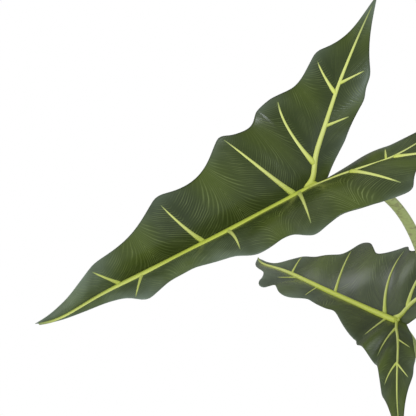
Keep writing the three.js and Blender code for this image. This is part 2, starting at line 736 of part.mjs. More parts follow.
const plant = new THREE.Group();
const holes = [];
LEAVES.forEach((leaf, i) => {
  leaf.placement = placementOf(leaf);
  const { blade, ribs } = bladeAndRibs(leaf);
  const path = stalkPath(leaf);
  const radii = stalkRadii(path);
  holes.push(strandRoom(path, radii, STALK_SIDES));
  plant.add(
    meshFrom(`blade_${i + 1}`, blade, LEAF_GREEN),
    meshFrom(`ribs_${i + 1}`, ribs, RIB_GREEN),
    meshFrom(`stalk_${i + 1}`, strand(path, radii, STALK_SIDES), STALK_GREEN),
  );
});
plant.add(meshFrom('pot', potSolid(), TERRACOTTA), meshFrom('soil', soilSolid(holes), POTTING_SOIL));

export default plant;
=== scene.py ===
import math

import bpy
import numpy as np
from mathutils import Matrix, Vector


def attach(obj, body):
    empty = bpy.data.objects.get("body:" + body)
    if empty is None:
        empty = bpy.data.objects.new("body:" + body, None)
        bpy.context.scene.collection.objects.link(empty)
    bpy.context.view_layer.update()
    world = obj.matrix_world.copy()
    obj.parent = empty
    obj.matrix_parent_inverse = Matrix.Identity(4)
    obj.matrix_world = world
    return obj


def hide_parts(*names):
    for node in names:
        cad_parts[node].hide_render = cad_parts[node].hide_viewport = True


# Looks of the potted sarian alocasia. The leaf's flat outline and the way each leaf hangs are those of the
# solids, sampled finely here. Lengths are in millimetres until a mesh is made.
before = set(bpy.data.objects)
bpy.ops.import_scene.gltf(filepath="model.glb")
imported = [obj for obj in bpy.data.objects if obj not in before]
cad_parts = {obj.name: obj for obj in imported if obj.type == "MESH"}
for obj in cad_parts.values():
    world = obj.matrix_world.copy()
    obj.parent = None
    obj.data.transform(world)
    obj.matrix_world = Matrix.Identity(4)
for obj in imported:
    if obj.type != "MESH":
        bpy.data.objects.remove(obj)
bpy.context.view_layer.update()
MM = 0.001

# Blade, drawn flat: x across, y from the junction with the stalk towards the tip
BLADE_LENGTH = 343
LOBE_LENGTH = 170
BLADE_THICKNESS = 1.1
MARGIN_THINNING = 0.55  # share of the thickness that is gone at the margin
RUFFLE = 0.055  # rise of the margin between two side ribs, as a share of its distance from the centre line
SWELL = 1.6  # rise of the blade between two side ribs, half way to the margin
SWELL_WIDTH = 60  # where the half is narrower than this, it swells less
ROW_BOW = 3  # how far the rows bow towards the tip, in percent of their length
TOOTH_ROUNDING = 0.07  # how far a tooth's corner is rounded to each side, in stations
DIP_SKEW = 0.8  # under 1, a bay is deepest on the tip's side of its middle
DIP_SHARPNESS = 1.2  # over 1, a bay narrows towards its deepest point
FOLD_ROUNDING = 2.0  # radius of the fold's bottom
TIP_HOOK = 5.5  # how far the blade strays to the left half before its tip
HOOK_START = 0.66  # where that starts, as a share of the way from the junction to the tip
HOOK_SHARPNESS = 2.6

# Outlines of a half. Its centre line follows the midrib to the junction and then the lobe's rib. Stations
# count along it from the tip, with a side rib's root at each whole one.
# Roots: how far up the midrib ribs 1 to 3 leave it.
# Lobe: the centre line's places at stations 4 to 6.
# Teeth, on the outer margin, and inner, on the lobe's inner one: station, place, depth of the bay before it.
# Ribs: the root's station or place, the end, the bow towards the tip, and the half width at the root.
JUNCTION = 10 / 3
LAST_STATION = 6
RIGHT_LOBE_TIP = (156, -169)
RIGHT_LOBE = [(28, -19), (83, -81), RIGHT_LOBE_TIP]
RIGHT_LOBE_TEETH = [
    (JUNCTION, (85, 40), 2), (11 / 3, (100, 8), 5), (4, (112, -19), -2.5), (13 / 3, (105.5, -37.5), 0),
    (14 / 3, (112, -58.5), 2), (5, (133, -88), 0), (6, RIGHT_LOBE_TIP, 12),
]
RIGHT_INNER_TEETH = [
    (JUNCTION, (0, -21), 0), (4, (27, -57), 2), (14 / 3, (58, -99), 2), (5, (78, -117), 2),
    (6, RIGHT_LOBE_TIP, 4),
]
RIGHT_LOBE_RIBS = [(4.88, (120, -81), 2, 1.9), (4.4, (48, -73), 0, 1.5), (5.02, (85, -113), 0, 1.5)]
RIGHT = {
    "sign": 1,
    "roots": (246, 140, 25),
    "lobe": RIGHT_LOBE,
    "teeth": [
        (0, (0, BLADE_LENGTH), 0), (1 / 3, (15.2, 319), 0), (2 / 3, (26.5, 294.5), 0), (1, (37, 267), 0),
        (2, (67, 170), 7), (3, (95.5, 63), 16.5),
    ] + RIGHT_LOBE_TEETH,
    "inner": RIGHT_INNER_TEETH,
    "ribs": [
        (1.03, (30, 272), 0.5, 1.8), (2, (56, 172), 3, 2.4), (3.04, (88, 62.8), 5, 3.0),
        (3.8, (104, -23), 9.5, 2.7),
    ] + RIGHT_LOBE_RIBS,
}
LEFT_LOBE_TIP = (158, -150)
LEFT = {
    "sign": -1,
    "roots": (217, 111, 17),
    "lobe": [(54, -25), (96, -50), LEFT_LOBE_TIP],
    "lobe_rib": [(0, 8), (12, 5), (25, -2), (38, -12), (54, -21.5), (97, -48), (154, -142)],
    "teeth": [
        (0, (0, BLADE_LENGTH), 0), (1 / 3, (7.5, 308), 0), (1 / 2, (13.5, 288), 0), (2 / 3, (18, 270), 0),
        (0.85, (26, 250.5), 0), (1, (43, 240), 0), (4 / 3, (37, 207), 0), (5 / 3, (40, 173), -1),
        (7 / 4, (52, 156), 0), (11 / 6, (52, 142), 0), (2, (69, 127), 0), (7 / 3, (77.5, 104), -1),
        (8 / 3, (83, 82.5), 1), (3, (99, 66), -1), (JUNCTION, (103.5, 33), 2), (11 / 3, (124.5, 1.5), -2.5),
        (4, (146, -31), 0), (5, (156, -85), 14), (6, LEFT_LOBE_TIP, 10),
    ],
    "inner": [(JUNCTION, (0, -21), 0), (4, (25, -51), 2), (5, (72, -64), 0), (6, LEFT_LOBE_TIP, 3)],
    "ribs": [
        (1.02, (31, 245), 0, 1.8), (2, (52, 130), -2, 2.4), (3, (82, 60), -0.5, 2.7),
        ((52, -20.5), (128, -29), 2, 2.4), (5, (146, -78), 2, 1.9), (4.8, (72, -58), 0, 1.3),
        (5.4, (106, -90), 0, 1.2),
    ],
}

# Halves of the second leaf, whose margin is rougher
ROUGH_RIGHT = {
    **RIGHT,
    "teeth": [
        (0, (0, BLADE_LENGTH), 0), (1 / 6, (5, 331), 0), (0.45, (8.2, 300), 0), (0.6, (13.2, 289.5), 0),
        (1, (33, 265), 0), (1.25, (36.5, 236.5), 0), (1.5, (44, 216), 0), (1.75, (53.5, 185), 0),
        (1.875, (69, 182), 0), (2, (85, 186), 0), (2.17, (86, 160), 0), (2.35, (74, 127), 0),
        (2.5, (67, 109.5), 0), (3, (94.5, 63), 4),
    ] + RIGHT_LOBE_TEETH,
    "ribs": [
        (0.97, (31, 266), 0, 1.7), (2, (67, 182), -3, 2.3), (3, (84, 60), 5, 2.8), (3.8, (104, -23), 7, 2.8),
    ] + RIGHT_LOBE_RIBS,
}
ROUGH_LEFT = {
    "sign": -1,
    "roots": (227, 158, 17),
    "lobe": RIGHT_LOBE,
    "teeth": [
        (0, (0, BLADE_LENGTH), 0), (1 / 3, (30, 284), 0), (2 / 3, (36, 264), 0), (5 / 6, (54, 243), 0),
        (0.95, (71, 234), 0), (1.05, (80, 212), 0), (7 / 6, (67, 213), 0), (4 / 3, (57, 210), 0),
        (3 / 2, (67, 195), 0), (1.65, (78, 177), 0), (1.75, (77, 161), 0), (11 / 6, (65, 158), 0),
        (2, (50, 147), 0), (7 / 3, (62, 113), 0), (5 / 2, (66, 94), 0), (8 / 3, (57, 83), 0),
        (3, (138, -4), 0), (4, (119, -56), 4), (5, (135, -100), 8), (6, RIGHT_LOBE_TIP, 8),
    ],
    "inner": RIGHT_INNER_TEETH,
    "ribs": [
        (1, (34, 240), 0, 1.7), (1.71, (51, 155), 0, 1.5), (3, (108, 1), -1, 2.2), (4, (105, -48), 3, 2.0),
        (5, (122, -93), 2, 1.5),
    ] + RIGHT_LOBE_RIBS[1:],
}

# Ribs
MIDRIB_RADII = [4.3, 4.0, 3.3, 2.3, 1.2]
MIDRIB_SHARES = [0, 1 / 3, 2 / 3, 5 / 6, 1]  # where it has them, from the junction to the tip
MIDRIB_ENDS = (-0.012, 0.99)  # from just behind the junction to just short of the tip
MIDRIB_LIFT = 1.6  # height of its axis over the blade
MIDRIB_RINGS = 110
LOBE_RIB_HALF_WIDTH = 3.5
LOBE_RIB_LENGTH = 250  # roughly, for its flare
LOBE_RIB_LEAD = 9  # how far up the midrib the right lobe's rib parts from it
LOBE_RIB_END = LAST_STATION - 0.12
RIB_TIP_HALF_WIDTH = 0.6
RIB_FLARE = 0.3  # widening beside the rib that it leaves, as a share of its half width
RIB_FLARE_REACH = 4.5
RIB_CROWN = 0.6  # rise of a side rib, as a share of its half width
RIB_KEEL = 0.8  # the same below the blade
RIB_SINK = 0.25  # how deep a rib's edges lie in the blade
RIB_ROUND = 9  # points over a rib's top
HUB_SIZE = (4.2, 7.5, 3.4)  # half width, half length along the midrib, and rise
HUB_LIFT = 1.4

# Leaf skin: its fine veins, and how far painted sheen and painted shade show between two distances from the
# junction
FAN_BEND = 24  # how strongly the fine veins turn outwards between two side ribs
FAN_WAVER = 7  # how far they stray
FINE_VEIN_SPACING = 2.9  # real ones are about 1 mm apart, too fine to show, so they are drawn coarser
COARSE = 2.6  # where they crowd together they run into fewer
# Painted sheen: how strongly pale grey-blue is painted before the teeth, towards the tip and over the left
# half's panels
EDGE_SHEEN = 0.5
EDGE_SHEEN_WIDTH = 9
TIP_SHEEN = 0.55
TIP_SHEEN_GROWS = (235, 305)
PANEL_SHEEN = 0.28
PANEL_SHEEN_GROWS = (90, 150)
PANEL_SHEEN_FADES = (300, 240)
# Painted shade: how far the right half is painted darker towards and over its lobe
PAINTED_LOBE_SHADE = 0.34
PAINTED_LOBE_SHADE_GROWS = (70, 20)

# What the leaf skin follows at each point: which fine vein it is on, how far the veins show, 0 half way
# between two side ribs to 1 at them, the distances from the nearest rib and from the margin, 0 at the centre
# line to 1 at the margin, painted sheen, and painted shade
SKIN_VALUES = ("fan", "strength", "from_middle", "rib_gap", "edge_gap", "row", "painted_sheen", "deep_green_and_painted_shade")
UPPER, UNDER = 0, 1  # the blade's material slots

# Grid: columns in a bay, a multiple of three so that one stands at the junction, and rows to the margins
COLUMNS_PER_BAY = 24
OUTER_ROWS = 30
INNER_ROWS = 14

# Leaves, with angles in degrees.
# Junction: where the stalk meets the blade. Heading, pitch and roll: the blade's turn.
# Twist and droop: the midrib's turn about itself and its bend, from the junction to the tip.
# Sway: how far the tip strays sideways. Rib_shift: how far the midrib lies to the left of the fold.
# Stand: where round the pot the stalk stands. Lean and stalk_pitch: its slope at the foot and at the blade.
# Fold: each half's slope beside the midrib. Curl: how it flattens in 100 mm. Breadth: a share of the flat
# blade's. All three are given at the tip, the junction and the lobe's tip.
EVEN_HABIT = {"fold": (42, 46, 62), "curl": (50, 48, 38), "breadth": (1, 1, 1)}
EVEN_HALVES = [{**RIGHT, **EVEN_HABIT}, {**LEFT, **EVEN_HABIT}]
LEAVES = [
    {
        "junction": (-210, -250, 780), "heading": 213, "pitch": -17, "roll": -28, "twist": -46, "droop": 0,
        "sway": 9, "size": 1, "stand": 222, "lean": 3, "stalk_pitch": -3, "rib_shift": 3,
        "halves": [
            {**RIGHT, "fold": (46, 47, 70), "curl": (60, 56, 36), "breadth": (1, 1, 1)},
            {**LEFT, "fold": (55, 54, 93), "curl": (40, 36, 43), "breadth": (1, 1, 1)},
        ],
    },
    {
        "junction": (-94, 28, 543), "heading": 120, "pitch": -2, "roll": -27, "twist": 30, "droop": 2,
        "sway": 12, "size": 0.99, "stand": 168, "lean": 10, "stalk_pitch": -50, "rib_shift": 3,
        "halves": [
            {**ROUGH_RIGHT, "fold": (28, 47, 45), "curl": (33, 33, 40), "breadth": (1, 1, 1)},
            {**ROUGH_LEFT, "fold": (8, 15, 6), "curl": (7, 12, 34), "breadth": (1.05, 0.46, 1)},
        ],
    },
    {
        "junction": (175, -165, 715), "heading": 318, "pitch": -38, "roll": 14, "twist": 12, "droop": 22,
        "sway": -8, "size": 0.96, "stand": 323, "lean": 9, "stalk_pitch": -18, "halves": EVEN_HALVES,
    },
    {
        "junction": (235, 90, 600), "heading": 20, "pitch": -34, "roll": -10, "twist": -14, "droop": 26,
        "sway": 6, "size": 0.9, "stand": 15, "lean": 12, "stalk_pitch": -24, "halves": EVEN_HALVES,
    },
    {
        "junction": (80, 190, 830), "heading": 68, "pitch": -36, "roll": 8, "twist": 10, "droop": 24,
        "sway": 8, "size": 0.98, "stand": 67, "lean": 7, "stalk_pitch": -18, "halves": EVEN_HALVES,
    },
    {
        "junction": (60, -175, 470), "heading": 284, "pitch": -30, "roll": -12, "twist": 10, "droop": 20,
        "sway": -6, "size": 0.8, "stand": 274, "lean": 12, "stalk_pitch": -34, "halves": EVEN_HALVES,
    },
    {
        "junction": (-90, 120, 300), "heading": 140, "pitch": -14, "roll": 6, "twist": -8, "droop": 16,
        "sway": 5, "size": 0.62, "stand": 118, "lean": 14, "stalk_pitch": -42, "halves": EVEN_HALVES,
    },
]

# Stalks
STALK_TOP_RADIUS = 5
STALK_BASE_RADIUS = 9.5
STALK_TAPER = 0.7  # under 1, a stalk thins fastest near its base
STALK_RING = 30  # radius of the ring that the stalks stand on
STALK_UPRIGHT = 0.55  # how far a stalk rises before it arches over, as a share of its span
STALK_REACH = 0.34  # how far before its top it turns to its slope at the blade, the same way
STALK_STEPS = 70
STALK_SIDES = 24
GROOVE_DEPTH = 0.22  # as a share of the stalk's radius
GROOVE_WIDTH = 0.45  # in radians
GROOVE_FADE = 2.2  # the groove is gone at 1 / 2.2 of the way up
HOLE_DEPTH = 34

# Pot and soil
POT_HEIGHT = 200
POT_RIM_RADIUS = 112
POT_FOOT_RADIUS = 80
POT_WALL = 7
POT_FLOOR = 10
POT_SIDES = 128
RIM_BAND = 28
RIM_STEP = 4
AXIS_GAP = 0.5  # where the pot's turned outline stops short of the axis
SOIL_EDGE = 170
SOIL_MOUND = 9
SOIL_TOP_RADIUS = 48
MOUND_RADIUS = POT_RIM_RADIUS - RIM_STEP - POT_WALL - 5
SOIL_RADIUS = POT_RIM_RADIUS - RIM_STEP - POT_WALL - 4.6
SOIL_UNDERSIDE = 150
SOIL_RINGS = 60
SOIL_SIDES = 160
BUMP_HEIGHT = 0.9
# Peat crumbs, bark chips and perlite: how many, the smallest and largest size, and how flat
GRAINS = [(420, 1.2, 2.6, 0.8), (170, 3, 7, 0.4), (60, 1.3, 2.4, 0.8)]

# Sizes of the patches and grain in the materials
SHADE_PATCH = 77
VEIN_PATCH = 26.3
RIB_PATCH = 25
STALK_BLOTCH = 11.1
PEAT_GRAIN = 6.25
BARK_GRAIN = 4.55
PERLITE_GRAIN = 2.5
TURNING_MARK = 33.3
CLAY_BLOOM = 90.9
PAPER_PATCH = 333

# Settings that many nodes share
SMOOTH = {"interpolation_type": "SMOOTHSTEP"}
COLOURS = {"data_type": "RGBA", "out": 2}

# Floor and room
FLOOR_REACH = 1.0  # in metres
# How bright the room is towards each side: left and in front most, below least
ROOM_GLOW = [("X", 1, 1.0), ("X", -1, 1.3), ("Y", 1, 0.2), ("Y", -1, 1.35), ("Z", 1, 0.45), ("Z", -1, 0.05)]


def linear(hex_colour):
    """An sRGB hex colour as linear red, green, blue and alpha."""
    channels = [int(hex_colour[i:i + 2], 16) / 255 for i in (1, 3, 5)]
    return [c / 12.92 if c <= 0.04045 else ((c + 0.055) / 1.055) ** 2.4 for c in channels] + [1]


def new_material(name):
    """A material with its node tree, its shader, and the surface's place for its patterns."""
    material = bpy.data.materials.new(name)
    material.use_nodes = True
    tree = material.node_tree
    return material, tree, tree.nodes["Principled BSDF"], add(tree, "TexCoord", out="Object")


def feed(tree, node, inputs):
    """Gives a node's sockets their values or links."""
    for socket, value in inputs.items():
        if isinstance(value, bpy.types.NodeSocket):
            tree.links.new(value, node.inputs[socket])
        else:
            node.inputs[socket].default_value = value


def add(tree, kind, inputs=None, out=0, **settings):
    """Adds a node with its settings and its sockets' values or links, and gives one of its outputs."""
    made = tree.nodes.new("ShaderNode" + kind)
    for name, value in settings.items():
        setattr(made, name, value)
    feed(tree, made, inputs or {})
    return made.outputs[out]


def scale_of(patch):
    """A noise's scale from the size of its patches."""
    return 1 / (patch * MM)


def ramp(value, start, end):
    """How far a value is from a start to an end, between 0 and 1."""
    return np.clip((value - start) / (end - start), 0, 1)


# Leaf form

def centre_line(half):
    """The line that a half's rows start from: down the midrib, then along the lobe's rib."""
    down = [(i + 1, (0, y)) for i, y in enumerate(half["roots"])]
    lobe = [(JUNCTION, (0, 0))] + [(i + 4, place) for i, place in enumerate(half["lobe"])]
    return [(0, (0, BLADE_LENGTH))] + down + lobe


def along_line(places, station):
    """The place at each station of a line of places."""
    stations = [place[0] for place in places]
    x = np.interp(station, stations, [place[1][0] for place in places])
    y = np.interp(station, stations, [place[1][1] for place in places])
    return x, y


def margin_at(half, teeth, station):
    """The margin's point: straight from tooth to tooth, drawn in towards the centre line by the bay."""
    root_x, root_y = along_line(centre_line(half), station)
    chord_x, chord_y = along_line(teeth, station)
    stations = np.array([tooth[0] for tooth in teeth])
    bay = np.clip(np.searchsorted(stations, station), 1, len(teeth) - 1)
    share = np.clip((station - stations[bay - 1]) / (stations[bay] - stations[bay - 1]), 0, 1)
    depth = np.array([tooth[2] for tooth in teeth])[bay]
    depth = depth * np.abs(np.sin(np.pi * share ** DIP_SKEW)) ** DIP_SHARPNESS
    reach = np.hypot(chord_x - root_x, chord_y - root_y)
    keep = np.where(reach > 0, 1 - depth / np.maximum(reach, 1e-6), 1)
    return root_x + (chord_x - root_x) * keep, root_y + (chord_y - root_y) * keep


def rounded_margin(half, teeth, station):
    """The margin with its corners rounded: the mean over a short stretch, shorter near the tips."""
    first = teeth[0][0]
    room = np.minimum(station - first, LAST_STATION - station)
    stretch = TOOTH_ROUNDING * np.clip(4 * room, 0, 1)
    points = [margin_at(half, teeth, station + stretch * share) for share in np.linspace(-1, 1, 7)]
    return np.mean([p[0] for p in points], axis=0), np.mean([p[1] for p in points], axis=0)


def outer_place(half, station, row):
    """The flat place between the centre line and the outer margin, its rise and the row's length."""
    root_x, root_y = along_line(centre_line(half), station)
    end_x, end_y = rounded_margin(half, half["teeth"], station)
    reach = np.hypot(end_x - root_x, end_y - root_y)
    bowed = ROW_BOW * reach * 4 * row * (1 - row) / 100
    wave = (1 - np.cos(2 * np.pi * station)) / 2
    swell = SWELL * wave * np.sin(np.pi * row) * np.minimum(reach / SWELL_WIDTH, 1)
    rise = RUFFLE * reach * wave * row ** 2 + swell
    return root_x + (end_x - root_x) * row, root_y + (end_y - root_y) * row + bowed, rise, reach


def inner_place(half, station, row):
    """The same between the lobe's rib and its inner margin."""
    root_x, root_y = along_line(centre_line(half), station)
    end_x, end_y = rounded_margin(half, half["inner"], station)
    reach = np.hypot(end_x - root_x, end_y - root_y)
    return root_x + (end_x - root_x) * row, root_y + (end_y - root_y) * row, 0 * row, reach


def along_blade(values, share):
    """A value given for the tip, the junction and the lobe tip, at a share of the way from the junction."""
    tip, junction, lobe = values
    return np.where(share >= 0, junction + (tip - junction) * share, junction - (lobe - junction) * share)


def section_at(habit, x, y):
    """Distance across and rise beside the midrib: an arc that starts as steep as the fold."""
    share = np.where(y >= 0, y / BLADE_LENGTH, y / LOBE_LENGTH)
    fold = np.radians(along_blade(habit["fold"], share))
    curl = np.radians(along_blade(habit["curl"], share)) / 100
    slope = fold - curl * along_blade(habit["breadth"], share) * x
    across = (np.sin(fold) - np.sin(slope)) / curl
    rise = (np.cos(slope) - np.cos(fold)) / curl
    ease = (1 - np.exp(-x / FOLD_ROUNDING)) * np.exp(-x / (12 * FOLD_ROUNDING))
    return across, rise - FOLD_ROUNDING * np.sin(fold) * ease


def turn_of(leaf):
    """The leaf's turn and size as a 3 by 3 array."""
    turn = Matrix.Rotation(math.radians(leaf["heading"] - 90), 3, "Z")
    turn = turn @ Matrix.Rotation(math.radians(leaf["pitch"]), 3, "X")
    turn = turn @ Matrix.Rotation(math.radians(leaf["roll"]), 3, "Y")
    return np.array(turn) * leaf["size"]


def hang_section(leaf, across, rise, y):
    """A point beside the midrib where the leaf hangs: turned along its twist, bent down by its droop."""
    ahead = np.maximum(y / BLADE_LENGTH, 0)
    roll = math.radians(leaf["twist"]) * ahead
    droop = math.radians(leaf["droop"]) * ahead
    sideways = across * np.cos(roll) + rise * np.sin(roll)
    up = rise * np.cos(roll) - across * np.sin(roll)
    hook = TIP_HOOK * np.sin(np.pi * ramp(ahead, HOOK_START, 1) ** HOOK_SHARPNESS)
    local = np.stack([
        sideways + leaf["sway"] * ahead ** 2 - hook,
        y - BLADE_LENGTH * droop ** 2 * ahead / 10 + up * np.sin(droop * ahead),
        -BLADE_LENGTH * droop * ahead ** 2 / 3 + up * np.cos(droop * ahead),
    ], axis=-1)
    return local @ turn_of(leaf).T + np.array(leaf["junction"])


def hang(leaf, sign, x, y, lift):
    """A point of the flat blade where it hangs, raised off the surface by a lift."""
    x = np.maximum(x, 0)
    habit = leaf["halves"][0 if sign > 0 else 1]
    step = 0.05
    across, rise = section_at(habit, x, y)
    next_across, next_rise = section_at(habit, x + step, y)
    run, climb = next_across - across, next_rise - rise
    length = np.hypot(run, climb)
    return hang_section(leaf, sign * (across - lift * climb / length), rise + lift * run / length, y)


# Rib lines

def rib_widths(count, root, length):
    """Half widths along a rib: a flare beside the rib that it leaves, then a taper."""
    share = np.linspace(0, 1, count)
    taper = RIB_TIP_HALF_WIDTH + (root - RIB_TIP_HALF_WIDTH) * (1 - share ** 1.2) ** 0.95
    away = share * length / RIB_FLARE_REACH
    return taper * (1 + RIB_FLARE * away * np.exp(1 - away))


def lobe_rib(half):
    """Flat points of the lobe's rib, from where it parts from the midrib."""
    if "lobe_rib" in half:
        places = np.array(half["lobe_rib"], float)
        share = np.linspace(0, len(places) - 1, 60)
        line = np.stack([np.interp(share, np.arange(len(places)), places[:, i]) for i in (0, 1)], axis=-1)
    else:
        station = np.linspace(JUNCTION, LOBE_RIB_END, 60)
        line = np.stack(along_line(centre_line(half), station), axis=-1)
        line[0] = (0, LOBE_RIB_LEAD)
    return smoothed(line, 12)


def side_rib(half, root, end, bow):
    """Flat points of a side rib: from its root, a place or a station, to its end, bowed towards the tip."""
    share = np.linspace(0, 1, 40)[:, None]
    if not isinstance(root, tuple):
        root = along_line(centre_line(half), root)
    root = np.array(root, float)
    return root + (np.array([end]) - root) * share + np.array([[0, bow]]) * 4 * share * (1 - share)


def rib_lines(half):
    """Each rib of a half but the midrib: its flat points and half widths."""
    lobe = lobe_rib(half)
    lines = [(lobe, rib_widths(len(lobe), LOBE_RIB_HALF_WIDTH, LOBE_RIB_LENGTH))]
    for root, end, bow, width in half["ribs"]:
        line = side_rib(half, root, end, bow)
        length = np.hypot(*(line[-1] - line[0]))
        lines.append((line, rib_widths(len(line), width, length)))
    return lines


def smoothed(points, rounds):
    """A line of points with its corners eased; the ends stay."""
    for _ in range(rounds):
        middle = (points[:-2] + 2 * points[1:-1] + points[2:]) / 4
        points = np.concatenate([points[:1], middle, points[-1:]])
    return points


def distance_to_line(x, y, line):
    """The distance of each flat point from the nearest stretch of a line."""
    nearest = np.full(len(x), 1e9)
    for (ax, ay), (bx, by) in zip(line[:-1], line[1:]):
        span = max((bx - ax) ** 2 + (by - ay) ** 2, 1e-9)
        share = np.clip(((x - ax) * (bx - ax) + (y - ay) * (by - ay)) / span, 0, 1)
        gap = np.hypot(x - ax - share * (bx - ax), y - ay - share * (by - ay))
        nearest = np.minimum(nearest, gap)
    return nearest


# Meshes

def make_object(name, vertices, faces, materials, face_materials=None, attributes=None):
    """A smooth mesh object from points in millimetres."""
    mesh = bpy.data.meshes.new(name)
    mesh.from_pydata((np.asarray(vertices) * MM).tolist(), [], [tuple(map(int, face)) for face in faces])
    mesh.polygons.foreach_set("use_smooth", [True] * len(mesh.polygons))
    for material in materials:
        mesh.materials.append(material)
    if face_materials is not None:
        mesh.polygons.foreach_set("material_index", face_materials)
    for key, values in (attributes or {}).items():
        mesh.attributes.new(key, "FLOAT", "POINT").data.foreach_set("value", np.asarray(values, np.float32))
    mesh.validate()
    mesh.update()
    made = bpy.data.objects.new(name, mesh)
    bpy.context.collection.objects.link(made)
    return made


def finish_piece(made, node):
    """The piece stands for its CAD node and rides on the part's one body."""
    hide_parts(node)
    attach(made, "root")


def grid_faces(columns, rows, first=0):
    """The four-sided faces of a grid of points, column by column."""
    column, row = np.meshgrid(np.arange(columns - 1), np.arange(rows - 1), indexing="ij")
    corner = first + (column * rows + row).ravel()
    return np.stack([corner, corner + rows, corner + rows + 1, corner + 1], axis=-1)


def half_sheet(half):
    """A half's grid, welded: each point's place, rise, station, row and row's length, and the faces."""
    outer_station = np.linspace(0, LAST_STATION, LAST_STATION * COLUMNS_PER_BAY + 1)
    inner_station = outer_station[round(JUNCTION * COLUMNS_PER_BAY):]
    pieces = []
    for stations, rows, place in (
        (outer_station, OUTER_ROWS, outer_place),
        (inner_station, INNER_ROWS, inner_place),
    ):
        station, row = np.meshgrid(stations, np.linspace(0, 1, rows + 1), indexing="ij")
        station, row = station.ravel(), row.ravel()
        x, y, rise, reach = place(half, station, row)
        pieces.append(np.stack([x, y, rise, station, row, reach], axis=-1))
    split = len(pieces[0])
    points = np.concatenate(pieces)
    faces = np.concatenate([
        grid_faces(len(outer_station), OUTER_ROWS + 1),
        grid_faces(len(inner_station), INNER_ROWS + 1, split)[:, ::-1],
    ])
    _, first, number = np.unique(np.round(points[:, :2], 3), axis=0, return_index=True, return_inverse=True)
    faces = number.reshape(-1)[faces]
    return points[first], [list(dict.fromkeys(face)) for face in faces if len(set(face)) > 2]


def thicken(top, bottom, faces):
    """A closed plate's points, and its faces: the sheet, its copy below turned over, and a wall round it."""
    edges = {}
    for face in faces:
        for start, end in zip(face, face[1:] + face[:1]):
            if edges.pop((end, start), None) is None:
                edges[(start, end)] = True
    below = len(top)
    walls = [[end, start, start + below, end + below] for start, end in edges]
    under = [[corner + below for corner in reversed(face)] for face in faces]
    return np.concatenate([top, bottom]), [faces, under, walls]


def build_blade(number, leaf, skins):
    """The blade: two halves, each a thin plate whose margin is thinner."""
    vertices, faces, face_skins = [], [], []
    attributes = {key: [] for key in SKIN_VALUES}
    for half in leaf["halves"]:
        points, sheet = half_sheet(half)
        if half["sign"] < 0:
            sheet = [face[::-1] for face in sheet]
        x, y, rise, station, row, reach = points.T
        thickness = BLADE_THICKNESS / 2 * (1 - MARGIN_THINNING * row ** 8)
        top = hang(leaf, half["sign"], x, y, rise + thickness)
        bottom = hang(leaf, half["sign"], x, y, rise - thickness)
        plate, groups = thicken(top, bottom, sheet)
        start = sum(len(v) for v in vertices)
        vertices.append(plate)
        for skin, group in zip((UPPER, UNDER, UNDER), groups):
            faces += [[corner + start for corner in face] for face in group]
            face_skins += [skin] * len(group)
        values = skin_values(half, x, y, station, row, reach)
        for key in SKIN_VALUES:
            attributes[key] += [values[key], values[key]]
    attributes = {key: np.concatenate(value) for key, value in attributes.items()}
    vertices = np.concatenate(vertices)
    blade = make_object(f"blade_{number}_fine", vertices, faces, skins, face_skins, attributes)
    finish_piece(blade, f"blade_{number}")


def skin_values(half, x, y, station, row, reach):
    """The values that the leaf skin follows at each point."""
    from_middle = np.abs(1 - 2 * (station % 1))
    lines = [line for line, _ in rib_lines(half)] + [np.array([[0, BLADE_LENGTH], [0, 0]])]
    rib_gap = np.min([distance_to_line(x, y, line) for line in lines], axis=0)
    edge_gap = (1 - row) * reach
    # Near a whole station but away from its rib, where no fine vein shows
    ribless = ramp(from_middle, 0.72, 0.92) * ramp(rib_gap, 3, 8)
    # Painted sheen: pale grey-blue just before each tooth near the margin, towards the tip and, on the left
    # half, over the middle panels
    before_tooth = np.cos(np.pi * ((station + 0.12) % 1)) ** 2
    painted_sheen = EDGE_SHEEN * before_tooth * np.exp(-edge_gap / EDGE_SHEEN_WIDTH)
    painted_sheen = painted_sheen + TIP_SHEEN * ramp(y, *TIP_SHEEN_GROWS)
    if half["sign"] < 0:
        painted_sheen = painted_sheen + PANEL_SHEEN * ramp(y, *PANEL_SHEEN_GROWS) * ramp(y, *PANEL_SHEEN_FADES)
    return {
        "painted_sheen": painted_sheen,
        # Painted shade: the right half is painted a deeper green towards its lobe
        "deep_green_and_painted_shade": PAINTED_LOBE_SHADE * ramp(y, *PAINTED_LOBE_SHADE_GROWS) * (half["sign"] > 0),
        "strength": (1 - ribless) * np.clip(edge_gap / 8, 0.25, 1),
        "fan": row * reach + FAN_BEND * np.log(np.maximum(from_middle, 0.04)),
        "from_middle": from_middle,
        "rib_gap": rib_gap,
        "edge_gap": edge_gap,
        "row": row,
    }


def rib_section(width, crown, keel):
    """Round a rib: sideways place and lift of each point, over its top and back under its keel."""
    share = np.linspace(-1, 1, RIB_ROUND)
    arch = np.sqrt(1 - share ** 2)
    face = BLADE_THICKNESS / 2 - RIB_SINK
    over = np.stack([share * width, face + (crown + RIB_SINK) * arch], axis=-1)
    under = np.stack([share[::-1] * width, -face - (keel + RIB_SINK) * arch], axis=-1)
    return np.concatenate([over, under[1:-1]])


def ring_faces(rings, sides, first=0):
    """The four-sided faces between rings of points."""
    faces = []
    for ring in range(rings - 1):
        for side in range(sides):
            a = first + ring * sides + side
            b = first + ring * sides + (side + 1) % sides
            faces.append([a, b, b + sides, a + sides])
    return faces


def strand_faces(rings, sides, first=0):
    """Faces of a closed strand of rings."""
    last = first + (rings - 1) * sides
    caps = [list(range(first, first + sides))[::-1], list(range(last, last + sides))]
    return ring_faces(rings, sides, first) + caps


def hub_dome(leaf):
    """The smooth swelling at the junction, where the midrib and the lobes' ribs run together."""
    points, faces = ball(10, 16)
    centre = hang(leaf, 1, np.array(0.0), np.array(1.0), HUB_LIFT)
    return points * np.array(HUB_SIZE) @ turn_of(leaf).T + centre, faces


